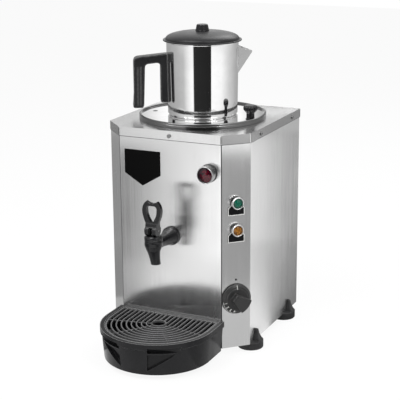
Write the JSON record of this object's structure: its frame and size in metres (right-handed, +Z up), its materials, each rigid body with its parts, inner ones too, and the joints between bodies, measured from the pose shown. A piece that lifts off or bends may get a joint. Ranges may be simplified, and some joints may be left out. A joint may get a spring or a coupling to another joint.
{
  "type": "hot water urn",
  "caption": "Countertop hot water urn with lever tap, hook-on drip tray and grid, thermostat knob, lamps, and a lidded teapot on its dished lid.",
  "frame": {"origin": "middle of the bounding box on the floor that the rubber feet stand on", "axes": "+X to the right as seen from the front, -Y towards the tap and the drip tray, +Z up"},
  "size_m": [0.331, 0.484, 0.6238],
  "materials": {
    "brushed_steel": "brushed sheet",
    "plain_steel": "mill finish",
    "polished_steel": "mirror polished stainless steel",
    "satin_steel": "satin",
    "tank_steel": "drawn sheet",
    "black_plastic": "fine moulded texture",
    "grid_plastic": "moulded",
    "black_rubber": "matt",
    "screw_steel": "turned",
    "heater_metal": "oxidised sheath",
    "brass": "turned",
    "copper_tube": "drawn copper",
    "red_seal": "silicone",
    "white_silicone": "silicone",
    "ivory_plastic": "moulded",
    "wire_sleeve": "silicone sleeve",
    "gland_plastic": "moulded",
    "lamp_barrel": "moulded",
    "lamp_chrome": "plated",
    "red_lens": "faceted, tinted",
    "green_lens": "domed, tinted",
    "amber_lens": "domed, tinted",
    "legend_plate": "printed",
    "badge": "gloss"
  },
  "bodies": {
    "casing": {"front_panel": "brushed_steel", "left_side_panel": "brushed_steel", "right_side_panel": "brushed_steel", "back_panel": "brushed_steel", "base_plate": "plain_steel", "top_cover": "brushed_steel", "cover_screws": "screw_steel", "back_panel_screws": "screw_steel", "rubber_feet": "black_rubber", "foot_screws": "screw_steel", "water_tank": "tank_steel", "tank_seal_ring": "black_rubber", "tank_bracket": "plain_steel", "heating_element": "heater_metal", "element_nuts": "brass", "element_washers": "red_seal", "safety_cutout": "heater_metal", "thermostat_body": "ivory_plastic", "thermostat_screws": "screw_steel", "thermostat_bulb": "copper_tube", "terminal_block": "ivory_plastic", "wiring": "wire_sleeve", "cable_gland": "gland_plastic", "gland_nut": "gland_plastic", "red_lamp_gasket": "black_rubber", "red_lamp_body": "lamp_barrel", "red_lamp_bezel": "lamp_chrome", "red_lamp_lens": "red_lens", "green_lamp_body": "lamp_barrel", "green_lamp_bezel": "lamp_chrome", "green_lamp_lens": "green_lens", "amber_lamp_body": "lamp_barrel", "amber_lamp_bezel": "lamp_chrome", "amber_lamp_lens": "amber_lens", "lamp_nuts": "screw_steel", "green_legend_plate": "legend_plate", "amber_legend_plate": "legend_plate", "badge_plate": "badge", "tap_body": "black_plastic", "tap_bonnet": "black_plastic", "tap_seals": "black_rubber", "tap_shank_nut": "brass"},
    "tap_stem_lift_body": {"tap_stem": "screw_steel", "tap_seat_cup": "white_silicone", "tap_spring": "screw_steel"},
    "tap_lever_body": {"tap_lever": "black_plastic", "tap_lever_pin": "screw_steel"},
    "thermostat_dial": {"thermostat_knob": "black_plastic", "thermostat_shaft": "screw_steel"},
    "urn_lid_body": {"urn_lid": "polished_steel", "lid_knob": "black_plastic", "lid_knob_screw": "screw_steel"},
    "teapot": {"teapot_body": "polished_steel", "teapot_spout": "polished_steel", "teapot_handle": "black_plastic", "handle_rivets": "screw_steel"},
    "teapot_lid_body": {"teapot_lid": "satin_steel", "teapot_lid_knob": "black_plastic"},
    "drip_tray_body": {"drip_tray": "black_plastic"},
    "drip_grid_body": {"drip_grid": "grid_plastic"}
  },
  "joints": [
    {"name": "tap_stem_lift", "type": "slide", "parent": "casing", "child": "tap_stem_lift_body", "axis": [0, 0, 1], "range_m": [0, 0.004], "deforming": ["tap_spring"]},
    {"name": "tap_lever_pull", "type": "hinge", "parent": "tap_stem_lift_body", "child": "tap_lever_body", "pos_m": [0.0015, -0.147, 0.265], "axis": [1, 0, 0], "range_deg": [0, 45], "stiffness_Nm_per_rad": 0.3, "springref_deg": -8.59},
    {"name": "thermostat_knob_turn", "type": "hinge", "parent": "casing", "child": "thermostat_dial", "pos_m": [0.129, -0.051, 0.1156], "axis": [0.7071, -0.7071, 0], "range_deg": [0, 270]},
    {"name": "urn_lid_lift", "type": "slide", "parent": "casing", "child": "urn_lid_body", "axis": [0, 0, 1], "range_m": [0, 0.15]},
    {"name": "teapot_lift", "type": "slide", "parent": "urn_lid_body", "child": "teapot", "axis": [0, 0, 1], "range_m": [0, 0.1]},
    {"name": "teapot_lid_lift", "type": "slide", "parent": "teapot", "child": "teapot_lid_body", "axis": [0, 0, 1], "range_m": [0, 0.06]},
    {"name": "drip_tray_pull", "type": "slide", "parent": "casing", "child": "drip_tray_body", "axis": [0, -0.7071, 0.7071], "range_m": [0, 0.09]},
    {"name": "drip_grid_lift", "type": "slide", "parent": "drip_tray_body", "child": "drip_grid_body", "axis": [0, 0, 1], "range_m": [0, 0.03]}
  ],
  "couplings": [
    {"joint": "tap_stem_lift", "follows": "tap_lever_pull", "m_per_rad": 0.005}
  ]
}
